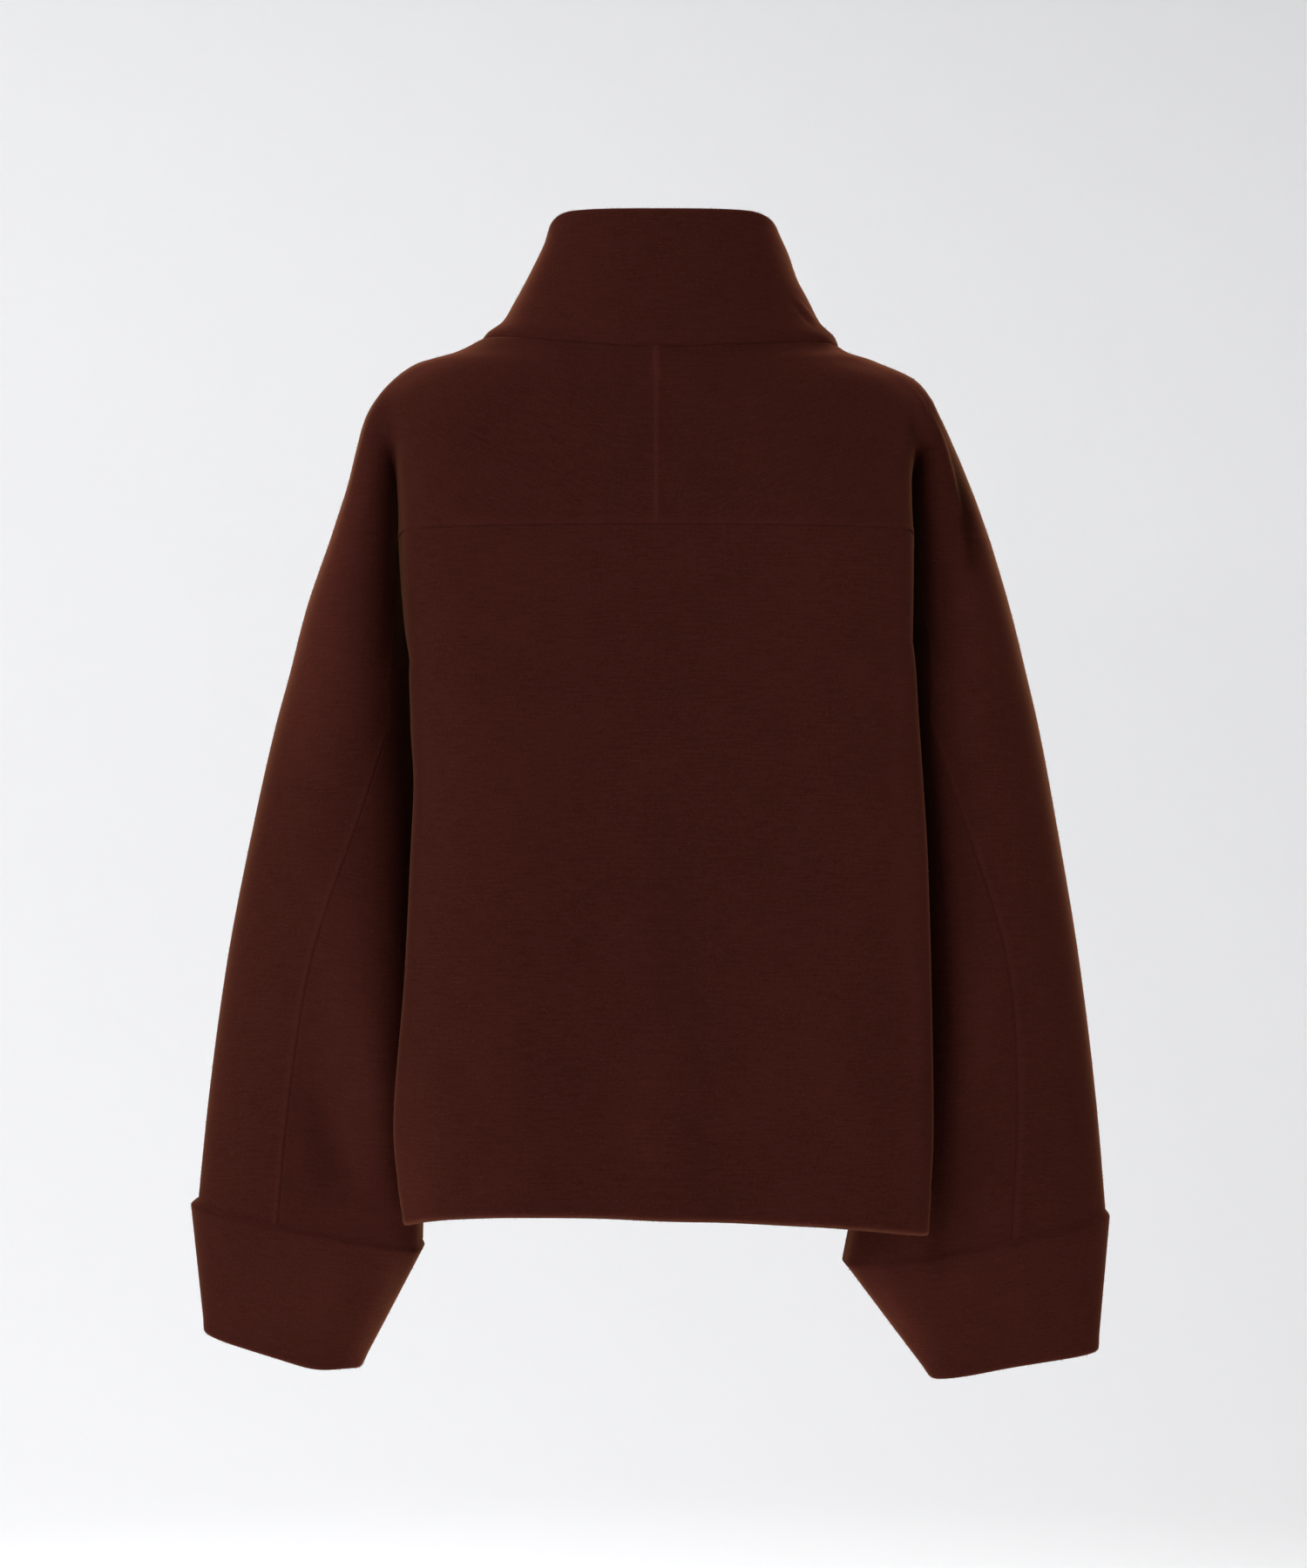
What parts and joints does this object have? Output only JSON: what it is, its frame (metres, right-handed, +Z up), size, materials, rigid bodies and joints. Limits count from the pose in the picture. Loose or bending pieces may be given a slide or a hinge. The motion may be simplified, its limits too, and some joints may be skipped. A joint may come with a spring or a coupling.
{
  "type": "short coat",
  "caption": "Short brushed-wool coat in its hollow worn form: funnel collar, yokes cut in one with wide sleeves, deep cuffs and plain lapped fronts.",
  "frame": {"origin": "between the shoulders at the height of the back neck seam, where the wearer holds the coat", "axes": "+X to the wearer's left, +Y to the back, +Z up"},
  "size_m": [0.6907, 0.2599, 0.8657],
  "materials": {
    "wool": "brushed double-faced wool, soft matt nap"
  },
  "bodies": {
    "root": {"collar": "wool", "yoke_left": "wool", "yoke_right": "wool", "back": "wool", "front_left": "wool", "front_right": "wool", "cuff_left": "wool", "cuff_right": "wool"}
  },
  "joints": []
}
